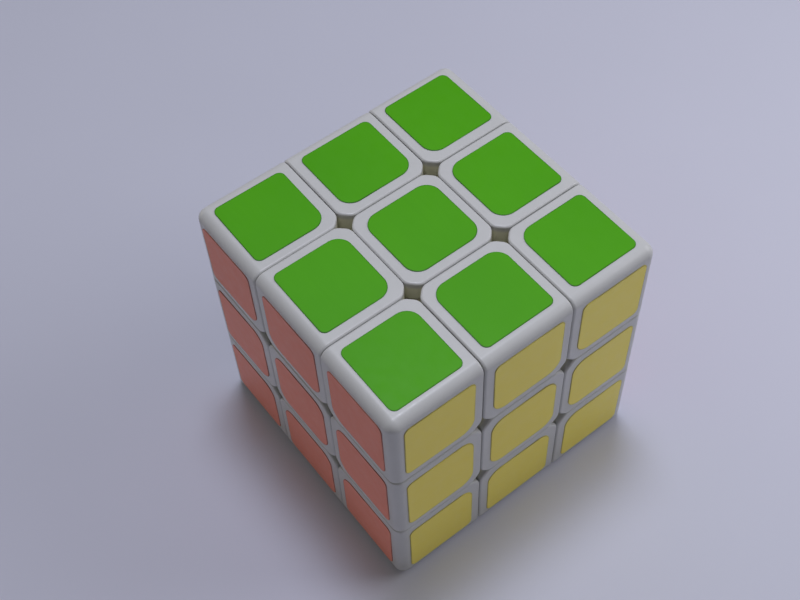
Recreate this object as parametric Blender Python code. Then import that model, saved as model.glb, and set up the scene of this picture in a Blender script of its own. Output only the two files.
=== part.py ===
"""Twisty puzzle cube, 3 x 3 x 3, white body: six turning faces on a screwed core.

Metres, +Z up.  The origin is the centre of the core, where all six turning axes
meet.  +Z is the up face, -Y the front face and +X the right face.

How the pieces share the space.  Every boundary between a face layer and the
middle layer is a surface of revolution about that layer's axis, so any face can
turn by any angle:
  * outside the sphere JOINT_RADIUS it is the plane LAYER from the centre,
  * inside that sphere it is the plane LAYER - HOOK from the centre.
The step between the two planes is what holds the puzzle together: each foot
reaches under its neighbours by HOOK.
"""

import math

import bmesh
import bpy
from mathutils import Matrix, Vector

# ---------------------------------------------------------------- driving sizes
MM = 0.001                     # the sizes below are in millimetres

SIDE = 56.0                    # the whole cube, face to face
GAP = 0.30                     # running clearance between any two pieces
WALL = 1.5                     # moulded wall of the hollow shells
JOINT_RADIUS = 21.0            # sphere on which shells meet feet
FOOT_INNER_RADIUS = 17.0       # nothing of an edge or a corner comes closer in
HOOK = 2.5                     # how far a foot reaches under its neighbour

WINDOW_RADIUS = 3.7            # rounded corner that opens the four-piece windows
EDGE_RADIUS = 2.0              # rounded outer edge of the cube
SEAM_RADIUS = 0.5              # eased edge along each seam
PLUG_RADIUS = 2.3              # round neck between a corner's shell and its foot
NECK_INSET = 0.4               # an edge's neck stands in from its shell and foot

ARM_RADIUS = 4.0               # arms of the core
ARM_LENGTH = 11.0
CORE_RADIUS = 6.5
SHANK_RADIUS = 1.2             # tension screw
SCREW_TIP = 5.6
BORE_RADIUS = 3.5              # bore of a centre, which holds the spring
HUB_RADIUS = 5.2               # round hub that turns on the core's arm
FLANGE = 1.5                   # floor of that bore
SPRING_RADIUS = 2.55
SPRING_WIRE_RADIUS = 0.3
SPRING_TURNS = 4
WASHER = (2.9, 0.5)            # radius, thickness
SCREW_HEAD = (2.7, 2.0)        # radius, height
CAP_DEPTH = 4.0                # height of a centre's snap-on cap
CAP_PLUG = 1.8                 # height of the rim that the cap snaps over
POCKET_DEPTH = 1.0             # square pocket round the screw head
POCKET_CORNER = 1.2
STEM_CORNER = 1.5              # rounded corners of a centre's square stem
STEM_SETBACK = 0.4             # the stem ends this far inside the body it carries
SLOT_HALF = (1.5, 0.35)        # cross recess: half length, half width
SLOT_DEPTH = 1.0

# ---------------------------------------------------------------- derived sizes
HALF = SIDE / 2
LAYER = SIDE / 6               # plane between the middle layer and a face layer
MARGIN = GAP / 2               # each piece stands back this far from its boundary
INNER = LAYER + MARGIN         # a face layer's shells begin here
MIDDLE = LAYER - MARGIN        # a middle layer's shells end here
FOOT_INNER = LAYER - HOOK + MARGIN
FOOT_MIDDLE = LAYER - HOOK - MARGIN
FOOT_TOP = JOINT_RADIUS - MARGIN
FACET_SAG = 0.36               # how far a facet of the joint sphere dips below it
SHELL_FLOOR = JOINT_RADIUS + MARGIN + FACET_SAG
CAVITY_START = SHELL_FLOOR + WALL
BEYOND = 2 * SIDE              # longer than anything it cuts

HUB_START = ARM_LENGTH + GAP
BORE_START = HUB_START + FLANGE
STEM_START = 14.0
CENTER_TOP = HALF - CAP_DEPTH - GAP
SPRING_START = BORE_START + GAP + SPRING_WIRE_RADIUS
SPRING_END = 17.2
WASHER_START = SPRING_END + SPRING_WIRE_RADIUS + GAP
HEAD_START = WASHER_START + WASHER[1] + GAP

UP, DOWN = Vector((0, 0, 1)), Vector((0, 0, -1))
BACK, FRONT = Vector((0, 1, 0)), Vector((0, -1, 0))
RIGHT, LEFT = Vector((1, 0, 0)), Vector((-1, 0, 0))
FACES = {"up": UP, "down": DOWN, "front": FRONT, "back": BACK, "right": RIGHT, "left": LEFT}


# ------------------------------------------------------------------- small tools
def material(name, colour, roughness, metallic=0.0):
    """A Principled material with one colour."""
    made = bpy.data.materials.new(name)
    made.use_nodes = True
    shader = made.node_tree.nodes["Principled BSDF"]
    shader.inputs["Base Color"].default_value = (*colour, 1.0)
    shader.inputs["Roughness"].default_value = roughness
    shader.inputs["Metallic"].default_value = metallic
    made.diffuse_color = (*colour, 1.0)
    return made


def scratch_object(name, bm):
    """Turn a bmesh in millimetres into an object in metres."""
    bmesh.ops.scale(bm, vec=(MM, MM, MM), verts=bm.verts)
    bmesh.ops.recalc_face_normals(bm, faces=bm.faces)
    mesh = bpy.data.meshes.new(name)
    bm.to_mesh(mesh)
    bm.free()
    made = bpy.data.objects.new(name, mesh)
    bpy.context.scene.collection.objects.link(made)
    return made


def extrude_outline(name, outline, low, high, axis="z"):
    """A prism: an outline of (u, v) points, extruded along one axis.

    (u, v) is (x, y) along z, (y, z) along x and (z, x) along y.
    """
    order = {"z": (0, 1, 2), "x": (2, 0, 1), "y": (1, 2, 0)}[axis]
    bm = bmesh.new()
    verts = []
    for u, v in outline:
        point = (u, v, low)
        verts.append(bm.verts.new([point[i] for i in order]))
    base = bm.faces.new(verts)
    shift = [(0, 0, high - low)[i] for i in order]
    top = bmesh.ops.extrude_face_region(bm, geom=[base])["geom"]
    moved = [item for item in top if isinstance(item, bmesh.types.BMVert)]
    bmesh.ops.translate(bm, verts=moved, vec=shift)
    return scratch_object(name, bm)


def rounded_rectangle(u_range, v_range, radii):
    """Outline with one radius per corner, in the order ++, -+, --, +-."""
    outline = []
    for quarter, radius in enumerate(radii):
        u_high = quarter in (0, 3)
        v_high = quarter in (0, 1)
        centre_u = u_range[1] - radius if u_high else u_range[0] + radius
        centre_v = v_range[1] - radius if v_high else v_range[0] + radius
        steps = 1 if radius < 1.0 else 3
        for step in range(steps + 1):
            angle = math.radians(90 * (quarter + step / steps))
            outline.append((centre_u + radius * math.cos(angle),
                            centre_v + radius * math.sin(angle)))
    return outline


def cylinder(name, radius, low, high, sides=12, direction=UP):
    """A cylinder along a direction, between two distances from the origin."""
    outline = []
    for side in range(sides):
        angle = 2 * math.pi * side / sides
        outline.append((radius * math.cos(angle), radius * math.sin(angle)))
    made = extrude_outline(name, outline, low, high)
    made.data.transform(UP.rotation_difference(direction).to_matrix().to_4x4())
    return made


def sphere(name, radius, fineness=3):
    bm = bmesh.new()
    bmesh.ops.create_icosphere(bm, subdivisions=fineness, radius=radius)
    return scratch_object(name, bm)


def beyond_plane(name, normal, distance):
    """A large block that fills everything past a plane."""
    half = BEYOND / 2
    square = [(half, half), (-half, half), (-half, -half), (half, -half)]
    made = extrude_outline(name, square, distance, BEYOND)
    made.data.transform(UP.rotation_difference(normal).to_matrix().to_4x4())
    return made


def box(name, x_range, y_range, z_range):
    outline = [(x_range[1], y_range[1]), (x_range[0], y_range[1]),
               (x_range[0], y_range[0]), (x_range[1], y_range[0])]
    return extrude_outline(name, outline, *z_range)


def combine(base, operation, *tools):
    """Apply exact Booleans to base, and remove the tools afterwards."""
    for tool in tools:
        modifier = base.modifiers.new(operation.lower(), "BOOLEAN")
        modifier.operation = operation
        modifier.object = tool
        modifier.solver = "EXACT"
        graph = bpy.context.evaluated_depsgraph_get()
        result = bpy.data.meshes.new_from_object(base.evaluated_get(graph))
        base.modifiers.clear()
        base.data = result
        bpy.data.objects.remove(tool)
    return base


def cut(base, *tools):
    return combine(base, "DIFFERENCE", *tools)


def join(base, *tools):
    return combine(base, "UNION", *tools)


def keep_common(base, *tools):
    return combine(base, "INTERSECT", *tools)


def finish_mesh(scratch, flat_angle=0.2, sharp_angle=35.0):
    """Clean a modelled shape and hand back its mesh, shaded smooth where round."""
    bm = bmesh.new()
    bm.from_mesh(scratch.data)
    bmesh.ops.remove_doubles(bm, verts=bm.verts, dist=0.002 * MM)
    bmesh.ops.dissolve_limit(bm, angle_limit=math.radians(flat_angle),
                             verts=bm.verts, edges=bm.edges)
    bmesh.ops.triangulate(bm, faces=bm.faces)
    mesh = bpy.data.meshes.new(scratch.name)
    bm.to_mesh(mesh)
    bm.free()
    bpy.data.objects.remove(scratch)
    mesh.shade_smooth()
    mesh.set_sharp_from_angle(angle=math.radians(sharp_angle))
    return mesh


# ------------------------------------------------------------------ shell shapes
def face_layer_profile(window=True):
    """A corner's square seen along any axis; one corner opens the window."""
    opening = WINDOW_RADIUS if window else SEAM_RADIUS
    span = (INNER, HALF)
    return rounded_rectangle(span, span, (EDGE_RADIUS, SEAM_RADIUS, opening, SEAM_RADIUS))


def corner_block():
    """The rounded cube of a corner, at (+x, +y, +z)."""
    profile = face_layer_profile()
    block = extrude_outline("corner", profile, -BEYOND, BEYOND, "z")
    return keep_common(block,
                       extrude_outline("along_x", profile, -BEYOND, BEYOND, "x"),
                       extrude_outline("along_y", profile, -BEYOND, BEYOND, "y"))


def edge_block():
    """The rounded cube of an edge, at (+x, +y) and centred on z = 0."""
    across, along = (INNER, HALF), (-MIDDLE, MIDDLE)
    seam, window = SEAM_RADIUS, WINDOW_RADIUS
    seen_along_x = rounded_rectangle(across, along, (seam, window, window, seam))
    seen_along_y = rounded_rectangle(along, across, (seam, seam, window, window))
    block = extrude_outline("edge", face_layer_profile(window=False), -BEYOND, BEYOND, "z")
    return keep_common(block,
                       extrude_outline("along_x", seen_along_x, -BEYOND, BEYOND, "x"),
                       extrude_outline("along_y", seen_along_y, -BEYOND, BEYOND, "y"))


def center_block(bottom, top, seam):
    """The rounded square of a centre, at +z, with its top edges eased if asked."""
    span = (-MIDDLE, MIDDLE)
    outline = rounded_rectangle(span, span, (WINDOW_RADIUS,) * 4)
    block = extrude_outline("center", outline, bottom, top, "z")
    if seam:
        deep = (0, HALF)
        seen_along_x = rounded_rectangle(span, deep, (seam, seam, seam, seam))
        seen_along_y = rounded_rectangle(deep, span, (seam, seam, seam, seam))
        keep_common(block,
                    extrude_outline("along_x", seen_along_x, -BEYOND, BEYOND, "x"),
                    extrude_outline("along_y", seen_along_y, -BEYOND, BEYOND, "y"))
    return block


# ------------------------------------------------------------------------ pieces
def corner_shell_mesh():
    """Hollow outer shell of a corner, with a round socket for its foot."""
    diagonal = Vector((1, 1, 1)).normalized()
    hollow = (INNER + WALL, HALF - WALL)
    cavity = keep_common(box("cavity", hollow, hollow, hollow),
                         beyond_plane("past_floor", diagonal, CAVITY_START))
    shell = corner_block()
    cut(shell, sphere("joint", SHELL_FLOOR), cavity,
        cylinder("socket", PLUG_RADIUS + GAP, 0, CAVITY_START + 1, 12, diagonal))
    return finish_mesh(shell)


def corner_foot_mesh():
    """Three-sided foot that hooks under the three neighbouring edges."""
    diagonal = Vector((1, 1, 1)).normalized()
    reach = (FOOT_INNER, SIDE)
    foot = keep_common(box("foot", reach, reach, reach),
                       sphere("joint", FOOT_TOP),
                       beyond_plane("underside", diagonal, FOOT_INNER_RADIUS + MARGIN))
    plug = cylinder("plug", PLUG_RADIUS, FOOT_TOP - 2, CAVITY_START + WALL, 12, diagonal)
    return finish_mesh(join(foot, plug))


def edge_mesh():
    """Hollow shell and foot of an edge, moulded as one."""
    diagonal = Vector((1, 1, 0)).normalized()
    hollow = (INNER + WALL, HALF - WALL)
    cavity = keep_common(box("cavity", hollow, hollow, (WALL - MIDDLE, MIDDLE - WALL)),
                         beyond_plane("past_floor", diagonal, CAVITY_START))
    shell = cut(edge_block(), sphere("joint", SHELL_FLOOR))
    reach = (FOOT_INNER, SIDE)
    foot = keep_common(box("foot", reach, reach, (-FOOT_MIDDLE, FOOT_MIDDLE)),
                       sphere("joint", FOOT_TOP))
    neck_wide = (INNER + NECK_INSET, HALF - WALL)
    neck_tall = (NECK_INSET - FOOT_MIDDLE, FOOT_MIDDLE - NECK_INSET)
    neck = keep_common(box("neck", neck_wide, neck_wide, neck_tall),
                       sphere("joint", CAVITY_START))
    join(shell, join(foot, neck))
    keep_common(shell, beyond_plane("underside", diagonal, FOOT_INNER_RADIUS + MARGIN))
    cut(shell, cavity,
        cylinder("core_hole", PLUG_RADIUS, 0, CAVITY_START + 1, 10, diagonal))
    return finish_mesh(shell)


def center_mesh():
    """Body of a centre: a square stem on a round hub, bored for screw and spring."""
    plug_half = MIDDLE - WALL - GAP
    plug_span = (-plug_half, plug_half)
    pocket_span = (WALL - plug_half, plug_half - WALL)
    stem_span = (-FOOT_MIDDLE, FOOT_MIDDLE)
    body = cut(center_block(LAYER, CENTER_TOP, seam=0), sphere("joint", SHELL_FLOOR))
    stem = extrude_outline("stem", rounded_rectangle(stem_span, stem_span, (STEM_CORNER,) * 4),
                           STEM_START, CENTER_TOP - STEM_SETBACK)
    rim_corner = WINDOW_RADIUS - WALL
    rim = extrude_outline("rim", rounded_rectangle(plug_span, plug_span, (rim_corner,) * 4),
                          CENTER_TOP - POCKET_DEPTH, CENTER_TOP + CAP_PLUG)
    pocket_outline = rounded_rectangle(pocket_span, pocket_span, (POCKET_CORNER,) * 4)
    pocket = extrude_outline("pocket", pocket_outline, CENTER_TOP - POCKET_DEPTH, HALF)
    join(body, stem, cylinder("hub", HUB_RADIUS, HUB_START, STEM_START + 1, 12), rim)
    cut(body, pocket,
        cylinder("bore", BORE_RADIUS, BORE_START, HALF, 12),
        cylinder("screw_hole", SHANK_RADIUS + 2 * GAP, 0, BORE_START + 1, 8))
    return finish_mesh(body)


def cap_mesh():
    """Cap of a centre, which snaps over the rim and hides the screw."""
    hollow_half = MIDDLE - WALL
    hollow_span = (-hollow_half, hollow_half)
    cap = center_block(HALF - CAP_DEPTH, HALF, seam=SEAM_RADIUS)
    corner = WINDOW_RADIUS - WALL
    hollow = extrude_outline("hollow", rounded_rectangle(hollow_span, hollow_span, (corner,) * 4),
                             LAYER, HALF - WALL)
    return finish_mesh(cut(cap, hollow))


def core_mesh():
    """Six-armed core with a blind screw hole in each arm."""
    core = cylinder("core", ARM_RADIUS, -ARM_LENGTH, ARM_LENGTH, 12)
    join(core, cylinder("arm_x", ARM_RADIUS, -ARM_LENGTH, ARM_LENGTH, 12, RIGHT),
         cylinder("arm_y", ARM_RADIUS, -ARM_LENGTH, ARM_LENGTH, 12, BACK))
    join(core, sphere("hub", CORE_RADIUS, fineness=2))
    for normal in FACES.values():
        cut(core, cylinder("screw_hole", SHANK_RADIUS + GAP, SCREW_TIP - GAP,
                           ARM_LENGTH + 1, 8, normal))
    return finish_mesh(core)


def screw_mesh():
    """Tension screw with a cross recess in its head."""
    head_radius, head_height = SCREW_HEAD
    head_top = HEAD_START + head_height
    screw = cylinder("screw", SHANK_RADIUS, SCREW_TIP, HEAD_START + 0.5, 8)
    join(screw, cylinder("head", head_radius, HEAD_START, head_top, 16))
    long, short = [(-half, half) for half in SLOT_HALF]
    recess = (head_top - SLOT_DEPTH, head_top + 1)
    cut(screw, box("slot_x", long, short, recess), box("slot_y", short, long, recess))
    return finish_mesh(screw)


def washer_mesh():
    radius, thickness = WASHER
    washer = cylinder("washer", radius, WASHER_START, WASHER_START + thickness, 12)
    return finish_mesh(cut(washer, cylinder("hole", SHANK_RADIUS + GAP, 0, HALF, 8)))


def spring_mesh():
    """Helical compression spring, a tube swept along the helix."""
    steps_per_turn, sides = 8, 4
    steps = SPRING_TURNS * steps_per_turn
    slope = math.atan2(SPRING_END - SPRING_START, 2 * math.pi * SPRING_RADIUS * SPRING_TURNS)
    bm = bmesh.new()
    rings = []
    for step in range(steps + 1):
        angle = 2 * math.pi * step / steps_per_turn
        outward = Vector((math.cos(angle), math.sin(angle), 0))
        forward = Vector((-math.sin(angle), math.cos(angle), math.tan(slope))).normalized()
        height = SPRING_START + (SPRING_END - SPRING_START) * step / steps
        middle = outward * SPRING_RADIUS + UP * height
        across = forward.cross(outward)
        ring = []
        for side in range(sides):
            turn = 2 * math.pi * side / sides
            offset = outward * math.cos(turn) + across * math.sin(turn)
            ring.append(bm.verts.new(middle + offset * SPRING_WIRE_RADIUS))
        rings.append(ring)
    for near, far in zip(rings, rings[1:]):
        for side in range(sides):
            following = (side + 1) % sides
            bm.faces.new((near[side], near[following], far[following], far[side]))
    bm.faces.new(rings[0])
    bm.faces.new(rings[-1])
    return finish_mesh(scratch_object("spring", bm), sharp_angle=80.0)


# ---------------------------------------------------------------------- assembly
def place(name, mesh, turn, look, parent):
    """A named object on a shared mesh, turned into its slot about the origin."""
    made = bpy.data.objects.new(name, mesh)
    if not mesh.materials:
        mesh.materials.append(look)
    bpy.context.scene.collection.objects.link(made)
    made.parent = parent
    made.matrix_world = turn
    return made


def slot_frame(x_axis, y_axis):
    """Rotation that carries +x and +y to two given directions."""
    z_axis = x_axis.cross(y_axis)
    return Matrix((x_axis, y_axis, z_axis)).transposed().to_4x4()


def edge_slots():
    """Name and rotation of the twelve edges: every pair of faces that meet."""
    names = list(FACES)
    for first, name in enumerate(names):
        for other in names[first + 1:]:
            if abs(FACES[name].dot(FACES[other])) < 0.5:
                yield f"{name}_{other}", slot_frame(FACES[name], FACES[other])


def corner_slots():
    """Name and rotation of the eight corners."""
    for z_name in ("up", "down"):
        for y_name in ("front", "back"):
            for x_name in ("right", "left"):
                x_axis, y_axis, z_axis = FACES[x_name], FACES[y_name], FACES[z_name]
                if x_axis.cross(y_axis).dot(z_axis) < 0:
                    x_axis, y_axis = y_axis, x_axis
                yield f"{z_name}_{y_name}_{x_name}", slot_frame(x_axis, y_axis)


def build():
    for leftover in list(bpy.data.objects):
        bpy.data.objects.remove(leftover)

    white = material("white_plastic", (0.72, 0.73, 0.72), 0.35)
    ivory = material("ivory_foot_plastic", (0.55, 0.54, 0.47), 0.45)
    core_white = material("core_plastic", (0.60, 0.60, 0.57), 0.5)
    steel = material("screw_steel", (0.55, 0.55, 0.57), 0.3, 1.0)
    spring_steel = material("spring_steel", (0.62, 0.62, 0.63), 0.25, 1.0)

    centre = bpy.data.objects.new("puzzle_centre", None)
    bpy.context.scene.collection.objects.link(centre)

    place("core", core_mesh(), Matrix(), core_white, centre)

    face_meshes = {"center": (center_mesh(), ivory), "cap": (cap_mesh(), white),
                   "screw": (screw_mesh(), steel), "spring": (spring_mesh(), spring_steel),
                   "washer": (washer_mesh(), steel)}
    for face, normal in FACES.items():
        turn = UP.rotation_difference(normal).to_matrix().to_4x4()
        for piece, (mesh, look) in face_meshes.items():
            place(f"{piece}_{face}", mesh, turn, look, centre)

    edge = edge_mesh()
    for slot, turn in edge_slots():
        place(f"edge_{slot}", edge, turn, white, centre)

    shell, foot = corner_shell_mesh(), corner_foot_mesh()
    for slot, turn in corner_slots():
        place(f"corner_{slot}", shell, turn, white, centre)
        place(f"foot_{slot}", foot, turn, ivory, centre)


build()
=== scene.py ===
"""Looks of the twisty puzzle cube: moulded shells, vinyl stickers, screws and springs.

Shapes are modelled in millimetres and turned into metres when a piece is finished.
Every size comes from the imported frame, or is a named number here.  One shape is
made for each kind of piece and then turned into its places about the core.
"""
import math
import random

import bmesh
import bpy
from mathutils import Matrix, Vector


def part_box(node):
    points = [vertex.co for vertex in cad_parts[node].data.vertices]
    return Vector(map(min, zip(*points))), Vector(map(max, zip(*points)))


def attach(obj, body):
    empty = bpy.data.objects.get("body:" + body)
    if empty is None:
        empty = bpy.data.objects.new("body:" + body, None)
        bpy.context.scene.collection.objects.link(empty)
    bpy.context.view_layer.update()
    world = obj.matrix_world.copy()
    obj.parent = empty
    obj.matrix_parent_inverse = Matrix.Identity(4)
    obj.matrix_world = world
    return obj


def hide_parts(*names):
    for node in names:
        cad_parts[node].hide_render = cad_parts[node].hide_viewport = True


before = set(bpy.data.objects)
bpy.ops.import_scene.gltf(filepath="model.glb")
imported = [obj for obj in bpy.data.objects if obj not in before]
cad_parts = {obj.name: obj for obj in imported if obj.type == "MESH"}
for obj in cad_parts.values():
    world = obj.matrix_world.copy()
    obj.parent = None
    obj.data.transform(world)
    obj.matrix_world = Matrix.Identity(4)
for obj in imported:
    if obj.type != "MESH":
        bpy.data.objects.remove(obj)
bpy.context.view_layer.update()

# ------------------------------------------------------- sizes read from the frame
MM = 0.001
FACES = {"up": Vector((0, 0, 1)), "down": Vector((0, 0, -1)),
         "front": Vector((0, -1, 0)), "back": Vector((0, 1, 0)),
         "right": Vector((1, 0, 0)), "left": Vector((-1, 0, 0))}
UP = FACES["up"]


def span(node, axis):
    """Lowest and highest coordinate of a CAD node along one axis, in millimetres."""
    low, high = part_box(node)
    return low[axis] / MM, high[axis] / MM


HALF = span("cap_up", 2)[1]                    # centre of the core to a face
CAD_MIDDLE = span("cap_up", 0)[1]
CAD_INNER = span("corner_up_back_right", 0)[0]
LAYER_PLANE = (CAD_MIDDLE + CAD_INNER) / 2     # plane between two layers
GAP = CAD_INNER - CAD_MIDDLE                   # clearance between hidden surfaces
CAP_BOTTOM = span("cap_up", 2)[0]
HUB_START, RIM_TOP = span("center_up", 2)
FOOT_INNER = span("foot_up_back_right", 0)[0]
HOOK = CAD_INNER - FOOT_INNER                  # how far a foot reaches under its neighbour
ARM_LENGTH = span("core", 2)[1]
SCREW_TIP, HEAD_TOP = span("screw_up", 2)
HEAD_RADIUS = span("screw_up", 0)[1]
WASHER_LOW, WASHER_HIGH = span("washer_up", 2)
WASHER_RADIUS = span("washer_up", 0)[1]
SPRING_LOW, SPRING_HIGH = span("spring_up", 2)

# ------------------------------------------------- sizes of the finished surfaces
SEAM_GAP = 0.08                # between the shells of two layers
INNER = LAYER_PLANE + SEAM_GAP / 2             # where a face layer's shells begin
MIDDLE = LAYER_PLANE - SEAM_GAP / 2            # half width of a centre
WALL = 1.5
JOINT_RADIUS = 21.0            # sphere on which shells meet feet, as in the CAD
FOOT_INNER_RADIUS = 17.0       # sphere inside which no foot reaches, as in the CAD
FLOOR_LIFT = 0.36              # extra room under the shells for their round floors
SHELL_FLOOR = JOINT_RADIUS + GAP / 2 + FLOOR_LIFT
FOOT_TOP = JOINT_RADIUS - GAP / 2
CAVITY_START = SHELL_FLOOR + WALL
WINDOW_CUT = 1.85              # leg of the cut corner beside a window
WINDOW_BLEND = 0.75            # rounding at both ends of that cut
EDGE_RADIUS = 2.0              # outer edges of the cube
SEAM_RADIUS = 0.42             # eased edge along each seam
STICKER_BORDER = 1.86          # white plastic between a sticker and a seam
STICKER_OUTER_BORDER = 2.40    # and between a sticker and the cube's outer edge
STICKER_THICKNESS = 0.13
BIG_CORNER = 2.9               # sticker corner that follows a window
SMALL_CORNER = 1.25
STICKER_RIM = 0.22             # width of the darker line round a sticker
STICKER_ROLL = 0.06            # rolled top edge of a sticker
STICKER_SINK = 0.03            # how far its glue reaches into the plastic
PLUG_RADIUS = 2.3              # neck between a corner's shell and its foot
FOOT_EASE = 0.3                # eased edges of the feet
NECK_INSET = 0.4               # an edge's neck stands in from its shell and foot
THREAD_PITCH = 0.8             # tension screws
SEAT_PLAY = 0.1                # how far out a small cube may sit
BEYOND = 6 * HALF              # far outside the cube


# --------------------------------------------------------------------- mesh tools
def scratch(name, bm):
    """A scratch object, still in millimetres, from a bmesh."""
    bmesh.ops.recalc_face_normals(bm, faces=bm.faces)
    mesh = bpy.data.meshes.new(name)
    bm.to_mesh(mesh)
    bm.free()
    made = bpy.data.objects.new(name, mesh)
    bpy.context.scene.collection.objects.link(made)
    return made


def cuboid(low, high):
    """A bmesh box between two corners."""
    bm = bmesh.new()
    bmesh.ops.create_cube(bm, size=1)
    for vert in bm.verts:
        vert.co = [low[i] if vert.co[i] < 0 else high[i] for i in range(3)]
    return bm


def prism(name, outline, low, high, direction=UP):
    """An outline of (u, v) points extruded along a direction, between two distances."""
    bm = bmesh.new()
    base = bm.faces.new([bm.verts.new((u, v, low)) for u, v in outline])
    top = bmesh.ops.extrude_face_region(bm, geom=[base])["geom"]
    moved = [item for item in top if isinstance(item, bmesh.types.BMVert)]
    bmesh.ops.translate(bm, verts=moved, vec=(0, 0, high - low))
    made = scratch(name, bm)
    made.data.transform(UP.rotation_difference(direction).to_matrix().to_4x4())
    return made


def circle(radius, sides):
    """Outline of a regular polygon that stands for a circle."""
    turns = [2 * math.pi * side / sides for side in range(sides)]
    return [(radius * math.cos(turn), radius * math.sin(turn)) for turn in turns]


def cylinder(name, radius, low, high, direction=UP, sides=48):
    return prism(name, circle(radius, sides), low, high, direction)


def arc_steps(radius):
    """Straight steps in a quarter circle."""
    return max(2, round(radius * 6))


def rounded_rectangle(u_range, v_range, radii, steps=None):
    """Outline with one radius per corner, in the order ++, -+, --, +-."""
    outline = []
    for quarter, radius in enumerate(radii):
        centre_u = u_range[1] - radius if quarter in (0, 3) else u_range[0] + radius
        centre_v = v_range[1] - radius if quarter in (0, 1) else v_range[0] + radius
        count = steps[quarter] if steps else arc_steps(radius)
        for step in range(count + 1):
            angle = math.radians(90 * (quarter + step / count))
            outline.append((centre_u + radius * math.cos(angle),
                            centre_v + radius * math.sin(angle)))
    return outline


def square(half, radius):
    """Outline of a square with rounded corners."""
    return rounded_rectangle((-half, half), (-half, half), (radius,) * 4)


def box(name, x_range, y_range, z_range):
    corners = list(zip(x_range, y_range, z_range))
    return scratch(name, cuboid(*corners))


def ball(name, radius, fineness=5):
    bm = bmesh.new()
    bmesh.ops.create_icosphere(bm, subdivisions=fineness, radius=radius)
    return scratch(name, bm)


def beyond_plane(name, normal, distance):
    """A block that fills the space past a plane."""
    half = BEYOND / 2
    corners = [(half, half), (-half, half), (-half, -half), (half, -half)]
    return prism(name, corners, distance, BEYOND, normal)


def combine(base, operation, tools):
    """Exact Booleans, applied to base; the tools are used up."""
    for tool in tools:
        modifier = base.modifiers.new(operation.lower(), "BOOLEAN")
        modifier.operation = operation
        modifier.object = tool
        modifier.solver = "EXACT"
        graph = bpy.context.evaluated_depsgraph_get()
        base.data = bpy.data.meshes.new_from_object(base.evaluated_get(graph))
        base.modifiers.clear()
        bpy.data.objects.remove(tool)
    return base


def cut(base, *tools):
    return combine(base, "DIFFERENCE", tools)


def join(base, *tools):
    return combine(base, "UNION", tools)


def keep_common(base, *tools):
    return combine(base, "INTERSECT", tools)


def ring(bm, sides, height, radius_at):
    """Vertices round the z axis; radius_at takes the share of a full turn."""
    verts = []
    for side in range(sides):
        turn, radius = 2 * math.pi * side / sides, radius_at(side / sides)
        verts.append(bm.verts.new((radius * math.cos(turn), radius * math.sin(turn), height)))
    return verts


def close_tube(bm, rings):
    """Join a list of rings with faces and close both ends."""
    for near, far in zip(rings, rings[1:]):
        for side in range(len(near)):
            after = (side + 1) % len(near)
            bm.faces.new((near[side], near[after], far[after], far[side]))
    bm.faces.new(rings[0])
    bm.faces.new(rings[-1])


def round_edges(bm, wanted, width, segments):
    """Round every edge that wanted(edge) picks."""
    edges = [edge for edge in bm.edges if wanted(edge)]
    bmesh.ops.bevel(bm, geom=edges, offset=width, offset_type="OFFSET", segments=segments,
                    profile=0.5, affect="EDGES", clamp_overlap=False, loop_slide=True)
    bm.normal_update()


def ease(base, width, segments=2, angle=50.0):
    """Ease the sharp edges of a finished solid."""
    modifier = base.modifiers.new("ease", "BEVEL")
    modifier.width = width
    modifier.segments = segments
    modifier.limit_method = "ANGLE"
    modifier.angle_limit = math.radians(angle)
    modifier.use_clamp_overlap = True
    graph = bpy.context.evaluated_depsgraph_get()
    base.data = bpy.data.meshes.new_from_object(base.evaluated_get(graph))
    base.modifiers.clear()
    return base


def lies_at(edge, places):
    """True for an edge whose two ends both have these coordinates: {axis: value}."""
    return all(abs(vert.co[axis] - value) < 1e-4
               for vert in edge.verts for axis, value in places.items())


def finished(base, sharp_angle=40.0):
    """The mesh of a scratch object in metres, smooth where it is round."""
    bm = bmesh.new()
    bm.from_mesh(base.data)
    bmesh.ops.remove_doubles(bm, verts=bm.verts, dist=0.002)
    bmesh.ops.dissolve_degenerate(bm, edges=bm.edges, dist=0.002)
    bmesh.ops.scale(bm, vec=(MM, MM, MM), verts=bm.verts)
    mesh = bpy.data.meshes.new(base.name)
    bm.to_mesh(mesh)
    bm.free()
    bpy.data.objects.remove(base)
    mesh.materials.clear()
    mesh.shade_smooth()
    mesh.set_sharp_from_angle(angle=math.radians(sharp_angle))
    return mesh


# ------------------------------------------------------------------- the cubelets
def is_wall(face):
    """Faces of a corner or edge that look at a neighbour or at the core."""
    return min(face.normal) < -0.1


def corner_block():
    """Outer form of a corner at (+x, +y, +z)."""
    bm = cuboid((INNER,) * 3, (HALF,) * 3)
    round_edges(bm, lambda e: any(lies_at(e, {a: INNER, (a + 1) % 3: INNER}) for a in range(3)),
                WINDOW_CUT, 1)
    soften_window_cuts(bm)
    round_edges(bm, lambda e: any(lies_at(e, {a: HALF, (a + 1) % 3: HALF}) for a in range(3)),
                EDGE_RADIUS, 6)
    round_edges(bm, lambda e: len({is_wall(face) for face in e.link_faces}) == 2,
                SEAM_RADIUS, 3)
    return scratch("corner", bm)


def soften_window_cuts(bm):
    """Blend the cut window corners into the walls beside them."""
    def between_cut_and_wall(edge):
        slanted = [max(abs(c) for c in face.normal) < 0.9 for face in edge.link_faces]
        if slanted.count(True) != 1:
            return False
        direction = (edge.verts[0].co - edge.verts[1].co).normalized()
        return max(abs(c) for c in direction) > 0.999
    bm.normal_update()
    round_edges(bm, between_cut_and_wall, WINDOW_BLEND, 3)


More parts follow.
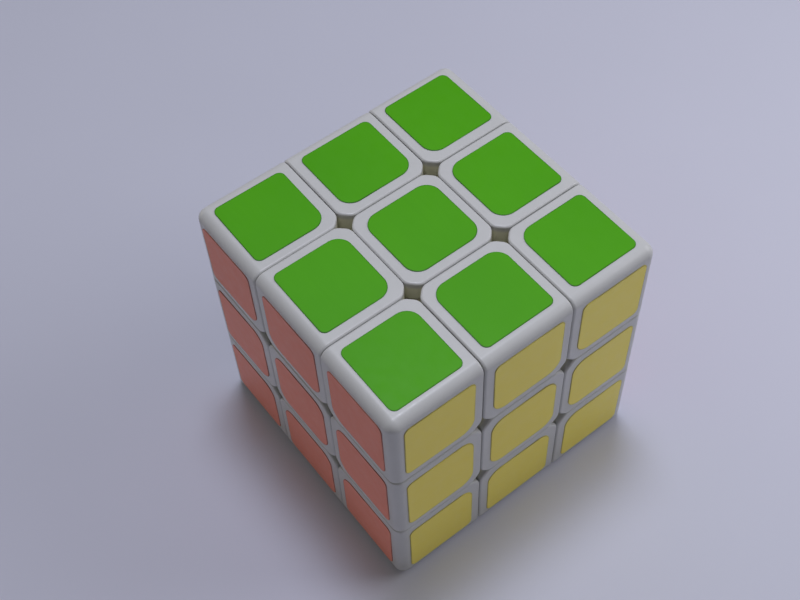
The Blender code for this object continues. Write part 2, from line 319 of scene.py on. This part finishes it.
def edge_block():
    """Outer form of an edge at (+x, +y), centred on z = 0."""
    bm = cuboid((INNER, INNER, -MIDDLE), (HALF, HALF, MIDDLE))
    round_edges(bm, lambda e: any(lies_at(e, {a: INNER, 2: z}) for a in (0, 1)
                                  for z in (-MIDDLE, MIDDLE)), WINDOW_CUT, 1)
    soften_window_cuts(bm)
    round_edges(bm, lambda e: lies_at(e, {0: HALF, 1: HALF}), EDGE_RADIUS, 6)

    def is_skin(face):
        return abs(face.normal.z) < 0.01 and min(face.normal) > -0.01
    round_edges(bm, lambda e: len({is_skin(face) for face in e.link_faces}) == 2,
                SEAM_RADIUS, 3)
    return scratch("edge", bm)


def cap_block():
    """Outer form of a centre's cap at +z."""
    bm = cuboid((-MIDDLE, -MIDDLE, CAP_BOTTOM), (MIDDLE, MIDDLE, HALF))
    round_edges(bm, lambda e: abs(e.verts[0].co.z - e.verts[1].co.z) > 1, WINDOW_CUT, 1)
    soften_window_cuts(bm)
    round_edges(bm, lambda e: len({face.normal.z > 0.9 for face in e.link_faces}) == 2,
                SEAM_RADIUS, 3)
    return scratch("cap", bm)


def corner_shell_mesh():
    """Hollow shell of a corner, with the socket for its foot."""
    diagonal = Vector((1, 1, 1)).normalized()
    hollow = (INNER + WALL, HALF - WALL)
    cavity = keep_common(box("cavity", hollow, hollow, hollow),
                         beyond_plane("past_floor", diagonal, CAVITY_START))
    shell = cut(corner_block(), ball("joint", SHELL_FLOOR), cavity,
                cylinder("socket", PLUG_RADIUS + GAP, 0, CAVITY_START + 1, diagonal))
    return finished(shell)


def corner_foot_mesh():
    """Foot of a corner, with the plug that holds it in the shell."""
    diagonal = Vector((1, 1, 1)).normalized()
    reach = (FOOT_INNER, 2 * HALF)
    foot = keep_common(box("foot", reach, reach, reach), ball("joint", FOOT_TOP),
                       beyond_plane("underside", diagonal, FOOT_INNER_RADIUS + GAP / 2))
    ease(foot, FOOT_EASE)
    join(foot, cylinder("plug", PLUG_RADIUS, FOOT_TOP - 2, CAVITY_START + WALL, diagonal))
    return finished(foot)


def edge_shell_mesh():
    """Hollow shell of an edge, its neck and its foot in one moulding."""
    diagonal = Vector((1, 1, 0)).normalized()
    hollow = (INNER + WALL, HALF - WALL)
    cavity = keep_common(box("cavity", hollow, hollow, (WALL - MIDDLE, MIDDLE - WALL)),
                         beyond_plane("past_floor", diagonal, CAVITY_START))
    shell = cut(edge_block(), ball("joint", SHELL_FLOOR))
    foot_middle = MIDDLE - HOOK
    reach = (FOOT_INNER, 2 * HALF)
    foot = keep_common(box("foot", reach, reach, (-foot_middle, foot_middle)),
                       ball("joint", FOOT_TOP),
                       beyond_plane("underside", diagonal, FOOT_INNER_RADIUS + GAP / 2))
    ease(foot, FOOT_EASE)
    wide = (INNER + NECK_INSET, HALF - WALL)
    tall = (NECK_INSET - foot_middle, foot_middle - NECK_INSET)
    neck = keep_common(box("neck", wide, wide, tall), ball("joint", CAVITY_START),
                       beyond_plane("underside", diagonal, FOOT_INNER_RADIUS + 1))
    join(shell, foot, neck)
    cut(shell, cavity, cylinder("core_hole", PLUG_RADIUS, 0, CAVITY_START + 1, diagonal))
    return finished(shell)


def cap_mesh():
    """Snap-on cap of a centre, open below."""
    hollow = prism("hollow", square(MIDDLE - WALL, WINDOW_CUT), 0, HALF - WALL)
    return finished(cut(cap_block(), hollow))


def center_mesh():
    """Body of a centre: square stem, round hub, spring bore and a rim for the cap."""
    top = CAP_BOTTOM - GAP
    rim_half = MIDDLE - WALL - GAP
    bore_radius, screw_hole_radius, flange = 3.5, 1.8, 1.5
    hub_radius, stem_start, stem_setback = 5.2, 14.0, 0.4
    stem_corner, pocket_corner, pocket_depth = 1.5, 1.2, 1.0
    block = prism("center", square(MIDDLE, WINDOW_CUT + WINDOW_BLEND), HALF / 3, top)
    body = cut(block, ball("joint", SHELL_FLOOR))
    join(body,
         prism("stem", square(MIDDLE - HOOK, stem_corner), stem_start, top - stem_setback),
         cylinder("hub", hub_radius, HUB_START, stem_start + 1),
         prism("rim", square(rim_half, WINDOW_CUT), top - pocket_depth, RIM_TOP))
    cut(body,
        prism("pocket", square(rim_half - WALL, pocket_corner), top - pocket_depth, HALF),
        cylinder("bore", bore_radius, HUB_START + flange, HALF),
        cylinder("screw_hole", screw_hole_radius, 0, HUB_START + flange + 1))
    return finished(ease(body, 0.15))


def core_mesh():
    """Six round arms on a ball, each arm with a screw hole."""
    arm_radius, hub_radius, screw_hole_radius = 4.0, 6.5, 1.5
    core = cylinder("core", arm_radius, -ARM_LENGTH, ARM_LENGTH)
    join(core, cylinder("arm_x", arm_radius, -ARM_LENGTH, ARM_LENGTH, FACES["right"]),
         cylinder("arm_y", arm_radius, -ARM_LENGTH, ARM_LENGTH, FACES["back"]),
         ball("hub", hub_radius, 4))
    for normal in FACES.values():
        cut(core, cylinder("screw_hole", screw_hole_radius, SCREW_TIP - GAP, ARM_LENGTH + 1,
                           normal))
    return finished(ease(core, 0.2))


def shank_radius(height, share):
    """Radius of a screw's threaded shank at a height, and at a share of a full turn."""
    root, crest, thread_end, blunt_tip = 1.0, 1.2, 12.0, 0.55
    above_tip = height - SCREW_TIP
    groove = abs(2 * ((height / THREAD_PITCH - share) % 1.0) - 1)
    run_in = min(1.0, above_tip / 1.5) if height < thread_end else 0.0
    taper = blunt_tip + (1 - blunt_tip) * min(1.0, above_tip / THREAD_PITCH)
    return taper * (root + (crest - root) * (1 - groove * run_in))


def screw_mesh():
    """Pan-head tension screw with a cross recess and a threaded shank."""
    head_low = WASHER_HIGH + GAP
    sides, levels_per_turn, overlap, dome, flat_share = 32, 8, 0.2, 0.7, 0.55
    levels = int((head_low - SCREW_TIP) / THREAD_PITCH * levels_per_turn)
    bm = bmesh.new()
    rings = []
    for level in range(levels + 1):
        height = SCREW_TIP + (head_low + overlap - SCREW_TIP) * level / levels
        rings.append(ring(bm, sides, height, lambda share: shank_radius(height, share)))
    profile = [(HEAD_RADIUS * 0.97, head_low), (HEAD_RADIUS, head_low + 0.1)]
    for step in range(9):
        angle = math.radians(90 * step / 8)
        profile.append((HEAD_RADIUS * (flat_share + (1 - flat_share) * math.cos(angle)),
                        HEAD_TOP - dome + dome * math.sin(angle)))
    for radius, height in profile:
        rings.append(ring(bm, sides, height, lambda share: radius))
    close_tube(bm, rings)
    screw = scratch("screw", bm)
    long, short, recess = (-1.5, 1.5), (-0.35, 0.35), (HEAD_TOP - 1.0, HEAD_TOP + 1)
    cut(screw, box("slot_x", long, short, recess), box("slot_y", short, long, recess))
    return finished(screw)


def washer_mesh():
    """Plain round washer."""
    hole_radius = 1.5
    washer = cylinder("washer", WASHER_RADIUS, WASHER_LOW, WASHER_HIGH)
    cut(washer, cylinder("hole", hole_radius, 0, HALF))
    return finished(ease(washer, 0.08))


def spring_mesh():
    """Round wire on a helix whose ends lie flat."""
    wire, radius, turns, per_turn, sides = 0.3, 2.55, 4, 40, 12
    flat_end = 0.09                # share of the wire that lies flat at each end
    low, high = SPRING_LOW + wire, SPRING_HIGH - wire
    steps = turns * per_turn
    points = []
    for step in range(steps + 1):
        risen = min(1, max(0, (step / steps - flat_end) / (1 - 2 * flat_end)))
        turn = 2 * math.pi * step / per_turn
        points.append(Vector((radius * math.cos(turn), radius * math.sin(turn),
                              low + (high - low) * risen)))
    bm = bmesh.new()
    rings = []
    for index, point in enumerate(points):
        forward = (points[min(index + 1, steps)] - points[max(index - 1, 0)]).normalized()
        outward = Vector((point.x, point.y, 0)).normalized()
        across = forward.cross(outward)
        rings.append([bm.verts.new(point + u * outward + v * across)
                      for u, v in circle(wire, sides)])
    close_tube(bm, rings)
    return finished(scratch("spring", bm), sharp_angle=60)


def sticker_mesh(u_range, v_range, radii):
    """A vinyl sticker with an upright cut edge and a slightly rolled top edge.

    Its attribute "rim" is 1 round the edge, where the colour is drawn darker, and 0 further in.
    """
    roll_start = STICKER_THICKNESS - STICKER_ROLL
    layers = [(0.0, -STICKER_SINK, 1.0), (0.0, roll_start, 1.0)]
    for step in range(1, 4):
        angle = math.radians(30 * step)
        layers.append((STICKER_ROLL * (1 - math.cos(angle)),
                       roll_start + STICKER_ROLL * math.sin(angle), 1.0))
    layers.append((STICKER_RIM, STICKER_THICKNESS, 0.0))
    bm = bmesh.new()
    rim_layer = bm.verts.layers.float.new("rim")
    steps = [arc_steps(radius) for radius in radii]
    rings = []
    for inset, height, rim in layers:
        outline = rounded_rectangle((u_range[0] + inset, u_range[1] - inset),
                                    (v_range[0] + inset, v_range[1] - inset),
                                    [radius - inset for radius in radii], steps)
        verts = [bm.verts.new((u, v, HALF + height)) for u, v in outline]
        for vert in verts:
            vert[rim_layer] = rim
        rings.append(verts)
    close_tube(bm, rings)
    return finished(scratch("sticker", bm), sharp_angle=50)


# ---------------------------------------------------------------------- materials
def shader_nodes(name):
    """A new material, with its node tree and its Principled shader."""
    made = bpy.data.materials.new(name)
    made.use_nodes = True
    tree = made.node_tree
    return made, tree, tree.nodes["Principled BSDF"]


def noise(tree, coordinates, scale, detail=4.0, stretch=(1, 1, 1)):
    """A noise value, with its scale in features per metre."""
    mapping = tree.nodes.new("ShaderNodeMapping")
    mapping.inputs["Scale"].default_value = stretch
    texture = tree.nodes.new("ShaderNodeTexNoise")
    texture.inputs["Scale"].default_value = scale
    texture.inputs["Detail"].default_value = detail
    tree.links.new(coordinates, mapping.inputs["Vector"])
    tree.links.new(mapping.outputs["Vector"], texture.inputs["Vector"])
    return texture.outputs["Fac"]


def ramp(tree, value, low, high):
    """Map a noise value onto a range of numbers."""
    node = tree.nodes.new("ShaderNodeMapRange")
    node.inputs["From Min"].default_value = 0.3
    node.inputs["From Max"].default_value = 0.7
    node.inputs["To Min"].default_value = low
    node.inputs["To Max"].default_value = high
    tree.links.new(value, node.inputs["Value"])
    return node.outputs["Result"]


def mix_colours(tree, factor, first, second):
    """Blend two colours; either may be a node output."""
    node = tree.nodes.new("ShaderNodeMix")
    node.data_type = "RGBA"
    for index, colour in ((6, first), (7, second)):
        if isinstance(colour, tuple):
            node.inputs[index].default_value = (*colour, 1)
        else:
            tree.links.new(colour, node.inputs[index])
    tree.links.new(factor, node.inputs[0])
    return node.outputs[2]


def bump(tree, shader, height, strength, distance_mm):
    """Fine relief on a shader's surface."""
    node = tree.nodes.new("ShaderNodeBump")
    node.inputs["Strength"].default_value = strength
    node.inputs["Distance"].default_value = distance_mm * MM
    tree.links.new(height, node.inputs["Height"])
    tree.links.new(node.outputs["Normal"], shader.inputs["Normal"])


def moulded_plastic(name, colour, worn, roughness, recess_shade_tint=None):
    """Moulded plastic: faint mottling, fine texture, and painted shade deep inside.

    recess_shade_tint, when given, paints the surfaces well below the cube's faces an olive-ivory
    tone that stands in for warm shade.
    """
    made, tree, shader = shader_nodes(name)
    place = tree.nodes.new("ShaderNodeTexCoord").outputs["Object"]
    mottle = noise(tree, place, 180, 2)
    tone = mix_colours(tree, ramp(tree, mottle, 0, 1), colour, worn)
    # Painted shade: the deep walls take an olive-ivory tone in place of the warm shaded light in
    # seams and windows.
    if recess_shade_tint:
        tone = mix_colours(tree, depth_factor(tree, place), tone, recess_shade_tint)
    tree.links.new(tone, shader.inputs["Base Color"])
    tree.links.new(ramp(tree, noise(tree, place, 900), roughness - 0.05, roughness + 0.07),
                   shader.inputs["Roughness"])
    bump(tree, shader, noise(tree, place, 2600, 2), 0.10, 0.02)
    return made


def depth_factor(tree, place):
    """0 at the cube's six faces, and 1 from a little way below them."""
    start_depth, full_depth = 0.7, 1.5
    largest = None
    split = tree.nodes.new("ShaderNodeSeparateXYZ")
    tree.links.new(place, split.inputs["Vector"])
    for axis in ("X", "Y", "Z"):
        size = tree.nodes.new("ShaderNodeMath")
        size.operation = "ABSOLUTE"
        tree.links.new(split.outputs[axis], size.inputs[0])
        if largest is None:
            largest = size.outputs[0]
        else:
            maximum = tree.nodes.new("ShaderNodeMath")
            maximum.operation = "MAXIMUM"
            tree.links.new(largest, maximum.inputs[0])
            tree.links.new(size.outputs[0], maximum.inputs[1])
            largest = maximum.outputs[0]
    node = tree.nodes.new("ShaderNodeMapRange")
    node.inputs["From Min"].default_value = (HALF - start_depth) * MM
    node.inputs["From Max"].default_value = (HALF - full_depth) * MM
    tree.links.new(largest, node.inputs["Value"])
    return node.outputs["Result"]


def vinyl(name, colour, deep, roughness=0.44, gloss=0.2):
    """Sticker vinyl: slight streaks from its printing, soft orange peel, a darker rim."""
    made, tree, shader = shader_nodes(name)
    place = tree.nodes.new("ShaderNodeTexCoord").outputs["Object"]
    streaks = noise(tree, place, 90, 5, (1, 14, 14))
    patches = noise(tree, place, 45, 3)
    tone = mix_colours(tree, ramp(tree, patches, 0, 1), colour, deep)
    tone = mix_colours(tree, ramp(tree, streaks, 0, 0.35), tone, deep)
    # A patchy darker line round the edge of each sticker, its colour darkened to about a third.
    rim = tree.nodes.new("ShaderNodeAttribute")
    rim.attribute_name = "rim"
    rim_dark = tree.nodes.new("ShaderNodeMath")
    rim_dark.operation = "MULTIPLY"
    tree.links.new(rim.outputs["Fac"], rim_dark.inputs[0])
    tree.links.new(ramp(tree, noise(tree, place, 120), 0.25, 0.95), rim_dark.inputs[1])
    tone = mix_colours(tree, rim_dark.outputs[0], tone, tuple(0.35 * part for part in deep))
    tree.links.new(tone, shader.inputs["Base Color"])
    tree.links.new(ramp(tree, noise(tree, place, 500), roughness - 0.05, roughness + 0.08),
                   shader.inputs["Roughness"])
    shader.inputs["Specular IOR Level"].default_value = gloss
    bump(tree, shader, noise(tree, place, 700, 5), 0.12, 0.03)
    return made


def plated_steel(name, colour, worn, roughness):
    """Turned, plated steel with fine marks."""
    made, tree, shader = shader_nodes(name)
    place = tree.nodes.new("ShaderNodeTexCoord").outputs["Object"]
    marks = noise(tree, place, 1500, 6, (1, 1, 6))
    tree.links.new(mix_colours(tree, ramp(tree, marks, 0, 1), colour, worn),
                   shader.inputs["Base Color"])
    shader.inputs["Metallic"].default_value = 1.0
    tree.links.new(ramp(tree, marks, roughness - 0.06, roughness + 0.1),
                   shader.inputs["Roughness"])
    bump(tree, shader, marks, 0.2, 0.01)
    return made


# The white plastic's deep walls get painted shade, an olive-ivory tone that is not the plastic's
# own colour.
WHITE = moulded_plastic("white_plastic", (0.635, 0.64, 0.642), (0.615, 0.619, 0.62), 0.335,
                        recess_shade_tint=(0.88, 0.87, 0.72))
# Centre bodies and feet: painted shade, an olive-ivory tone for white plastic seen in warm shade
# through the windows.
INSIDE = moulded_plastic("inside_plastic", (0.84, 0.82, 0.67), (0.80, 0.78, 0.63), 0.5)
CORE = moulded_plastic("core_plastic", (0.62, 0.62, 0.58), (0.56, 0.56, 0.52), 0.5)
STEEL = plated_steel("screw_steel", (0.60, 0.60, 0.62), (0.48, 0.47, 0.46), 0.3)
SPRING_STEEL = plated_steel("spring_steel", (0.68, 0.68, 0.69), (0.55, 0.55, 0.55), 0.22)
STICKERS = {
    "up": ("green", vinyl("green_vinyl", (0.085, 0.43, 0.001), (0.075, 0.395, 0.001))),
    "front": ("orange", vinyl("orange_vinyl", (0.93, 0.325, 0.24), (0.88, 0.29, 0.205))),
    "right": ("yellow", vinyl("yellow_vinyl", (1.0, 0.85, 0.15), (0.985, 0.82, 0.13), gloss=0.45)),
    "down": ("blue", vinyl("blue_vinyl", (0.015, 0.11, 0.50), (0.012, 0.09, 0.43))),
    "back": ("red", vinyl("red_vinyl", (0.55, 0.018, 0.02), (0.48, 0.014, 0.016))),
    "left": ("black", vinyl("black_vinyl", (0.022, 0.022, 0.024), (0.016, 0.016, 0.018))),
}


# ----------------------------------------------------------------------- assembly
def place_piece(name, mesh, turn, look, body, node=None):
    """A copy of a mesh in its place, riding on its body."""
    own = mesh.copy()
    own.name = name
    own.transform(turn)
    own.materials.append(look)
    made = bpy.data.objects.new(name, own)
    bpy.context.scene.collection.objects.link(made)
    weighted = made.modifiers.new("weighted_normals", "WEIGHTED_NORMAL")
    weighted.keep_sharp = True
    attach(made, body)
    if node:
        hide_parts(node)
    return made


def slot_frame(x_axis, y_axis):
    """Rotation that carries +x and +y to two given directions."""
    z_axis = x_axis.cross(y_axis)
    return Matrix((x_axis, y_axis, z_axis)).transposed().to_4x4()


def facing(outward, along_u):
    """Rotation that carries +z to outward and +x to along_u."""
    return Matrix((along_u, outward.cross(along_u), outward)).transposed().to_4x4()


def seat(piece, faces):
    """Small outward offset of one small cube: inward would close the seams it turns in."""
    chance = random.Random(f"seat {piece}")
    offset = Vector()
    for face in faces:
        if face != "down":
            offset += FACES[face] * chance.uniform(0, SEAT_PLAY)
    return Matrix.Translation(offset * MM)


def lay_sticker(face, piece, body, mesh, along_u, seated):
    """Lay one sticker on a face, a little off true, as hands leave it."""
    colour, look = STICKERS[face]
    chance = random.Random(f"{face} {piece}")
    slip, tilt = 0.1, 0.5          # millimetres, degrees
    sides = zip(*(vert.co.xy for vert in mesh.vertices))
    middle = Vector([(min(side) + max(side)) / 2 for side in sides] + [0])
    shift = Vector((chance.uniform(-slip, slip), chance.uniform(-slip, slip), 0)) * MM
    twist = Matrix.Rotation(math.radians(chance.uniform(-tilt, tilt)), 4, "Z")
    nudge = Matrix.Translation(middle + shift) @ twist @ Matrix.Translation(-middle)
    turn = seated @ facing(FACES[face], along_u) @ nudge
    place_piece(f"sticker_{colour}_{piece}", mesh, turn, look, body)


def build_core():
    place_piece("fine_core", core_mesh(), Matrix(), CORE, "core", "core")


def build_centers():
    """Six centres, each with its cap, body, screw, washer, spring and sticker."""
    meshes = [("cap", cap_mesh(), WHITE, "white_plastic", "face_{}"),
              ("center", center_mesh(), INSIDE, "inner_plastic", "face_{}"),
              ("screw", screw_mesh(), STEEL, "screw_steel", "core"),
              ("washer", washer_mesh(), STEEL, "screw_steel", "core"),
              ("spring", spring_mesh(), SPRING_STEEL, "spring_steel", "core")]
    inner = MIDDLE - STICKER_BORDER
    sticker = sticker_mesh((-inner, inner), (-inner, inner), (BIG_CORNER,) * 4)
    for face, normal in FACES.items():
        turn = UP.rotation_difference(normal).to_matrix().to_4x4()
        seated = seat(f"center_{face}", [face])
        for kind, mesh, look, slot, body in meshes:
            where = seated @ turn if kind == "cap" else turn
            place_piece(f"fine_{kind}_{face}", mesh, where, look, body.format(face),
                        f"{kind}_{face}")
        along_u = turn.to_3x3() @ Vector((1, 0, 0))
        lay_sticker(face, f"center_{face}", f"face_{face}", sticker, along_u, seated)


def build_edges():
    """Twelve edges, one for each pair of neighbouring faces, with two stickers each."""
    shell = edge_shell_mesh()
    outer = (INNER + STICKER_BORDER, HALF - STICKER_OUTER_BORDER)
    half = MIDDLE - STICKER_BORDER
    sticker = sticker_mesh(outer, (-half, half),
                           (SMALL_CORNER, BIG_CORNER, BIG_CORNER, SMALL_CORNER))
    names = list(FACES)
    for first, name in enumerate(names):
        for other in names[first + 1:]:
            if abs(FACES[name].dot(FACES[other])) > 0.5:
                continue
            piece, body = f"edge_{name}_{other}", f"edge_piece_{name}_{other}"
            seated = seat(piece, [name, other])
            turn = seated @ slot_frame(FACES[name], FACES[other])
            place_piece(f"fine_{piece}", shell, turn, WHITE, body, piece)
            lay_sticker(name, piece, body, sticker, FACES[other], seated)
            lay_sticker(other, piece, body, sticker, FACES[name], seated)


def build_corners():
    """Eight corners."""
    shell, foot = corner_shell_mesh(), corner_foot_mesh()
    outer = (INNER + STICKER_BORDER, HALF - STICKER_OUTER_BORDER)
    sticker = sticker_mesh(outer, outer,
                           (SMALL_CORNER, SMALL_CORNER, BIG_CORNER, SMALL_CORNER))
    for z_name in ("up", "down"):
        for y_name in ("front", "back"):
            for x_name in ("right", "left"):
                build_corner(f"{z_name}_{y_name}_{x_name}", (x_name, y_name, z_name),
                             shell, foot, sticker)


def build_corner(place, faces, shell, foot, sticker):
    """One corner: shell, foot and three stickers."""
    x_axis, y_axis, z_axis = [FACES[face] for face in faces]
    if x_axis.cross(y_axis).dot(z_axis) < 0:
        x_axis, y_axis = y_axis, x_axis
    seated = seat(f"corner_{place}", faces)
    turn = seated @ slot_frame(x_axis, y_axis)
    body = f"corner_piece_{place}"
    place_piece(f"fine_corner_{place}", shell, turn, WHITE, body,
                f"corner_{place}")
    place_piece(f"fine_foot_{place}", foot, turn, INSIDE, body,
                f"foot_{place}")
    for face in faces:
        others = [other for other in faces if other != face]
        if FACES[others[0]].cross(FACES[others[1]]).dot(FACES[face]) < 0:
            others.reverse()
        lay_sticker(face, f"corner_{place}", body, sticker, FACES[others[0]], seated)


# ------------------------------------------------------------ camera, light, floor
def look_at(obj, target):
    """Turn a camera or a light so that it faces a point."""
    direction = target - obj.location
    obj.rotation_euler = direction.to_track_quat("-Z", "Y").to_euler()


def add_camera():
    """Camera above the near corner, held a little askew."""
    azimuth, elevation, roll = math.radians(54.9), math.radians(55.1), math.radians(-3.19)
    distance, target = 0.2371, Vector((-0.0065, -0.0007, 0))
    camera = bpy.data.objects.new("camera", bpy.data.cameras.new("camera"))
    bpy.context.scene.collection.objects.link(camera)
    flat = math.cos(elevation)
    camera.location = target + distance * Vector((math.sin(azimuth) * flat,
                                                  -math.cos(azimuth) * flat,
                                                  math.sin(elevation)))
    look_at(camera, target)
    level = camera.rotation_euler.to_matrix()
    camera.rotation_euler = (level @ Matrix.Rotation(roll, 3, "Z")).to_euler()
    camera.data.sensor_width = 36
    camera.data.lens = 56.367
    camera.data.clip_start = 0.01
    bpy.context.scene.camera = camera


def add_light(name, location, size, energy, colour):
    """Square area light that faces the cube."""
    data = bpy.data.lights.new(name, "AREA")
    data.size = size
    data.energy = energy
    data.color = colour
    light = bpy.data.objects.new(name, data)
    light.location = location
    bpy.context.scene.collection.objects.link(light)
    look_at(light, Vector((0, 0, 0)))


def add_sky():
    """Even room light, with a bright spot low down on the left and soft walls on that side."""
    world = bpy.data.worlds.new("studio")
    bpy.context.scene.world = world
    world.use_nodes = True
    tree = world.node_tree
    direction = tree.nodes.new("ShaderNodeTexCoord").outputs["Generated"]
    even = tree.nodes.new("ShaderNodeRGB")
    even.outputs[0].default_value = (0.11, 0.104, 0.0935, 1)
    lobes = [((-1, -0.5, 0.1), 30, (1.3, 1.19, 0.93)),
             ((-0.78, 0.55, 0.3), 2, (0.10, 0.0945, 0.085)),
             ((-0.55, -0.78, 0.3), 2, (0.05, 0.0455, 0.035))]
    total = even.outputs[0]
    for towards, sharpness, colour in lobes:
        facing_it = tree.nodes.new("ShaderNodeVectorMath")
        facing_it.operation = "DOT_PRODUCT"
        facing_it.inputs[1].default_value = Vector(towards).normalized()
        tree.links.new(direction, facing_it.inputs[0])
        value = facing_it.outputs["Value"]
        for operation, number in (("MAXIMUM", 0.0), ("POWER", sharpness)):
            step = tree.nodes.new("ShaderNodeMath")
            step.operation = operation
            step.inputs[1].default_value = number
            tree.links.new(value, step.inputs[0])
            value = step.outputs[0]
        glow = tree.nodes.new("ShaderNodeVectorMath")
        glow.operation = "SCALE"
        glow.inputs[0].default_value = colour
        tree.links.new(value, glow.inputs["Scale"])
        added = tree.nodes.new("ShaderNodeVectorMath")
        added.operation = "ADD"
        tree.links.new(glow.outputs[0], added.inputs[0])
        tree.links.new(total, added.inputs[1])
        total = added.outputs[0]
    tree.links.new(total, tree.nodes["Background"].inputs["Color"])


def add_floor():
    """Pale paper that reaches to the horizon."""
    bm = bmesh.new()
    bmesh.ops.create_grid(bm, x_segments=24, y_segments=24, size=3.0)
    mesh = bpy.data.meshes.new("floor")
    bm.to_mesh(mesh)
    bm.free()
    floor = bpy.data.objects.new("floor", mesh)
    floor.location.z = -(HALF + STICKER_THICKNESS) * MM
    bpy.context.scene.collection.objects.link(floor)
    made, tree, shader = shader_nodes("pale_paper")
    place = tree.nodes.new("ShaderNodeTexCoord").outputs["Object"]
    tree.links.new(mix_colours(tree, ramp(tree, noise(tree, place, 12), 0, 1),
                               (0.655, 0.665, 0.785), (0.635, 0.645, 0.76)),
                   shader.inputs["Base Color"])
    shader.inputs["Roughness"].default_value = 0.85
    bump(tree, shader, noise(tree, place, 900, 5), 0.2, 0.05)
    mesh.materials.append(made)


build_core()
build_centers()
build_edges()
build_corners()

bpy.context.scene.view_settings.view_transform = "Standard"
add_sky()
add_light("ceiling", Vector((-0.11, 0.08, 0.69)), 0.18, 1.97, (0.945, 0.985, 1.145))
add_light("window", Vector((0.10, 0.20, 0.167)), 0.18, 0.215, (0.99, 0.99, 1.02))
add_floor()
add_camera()
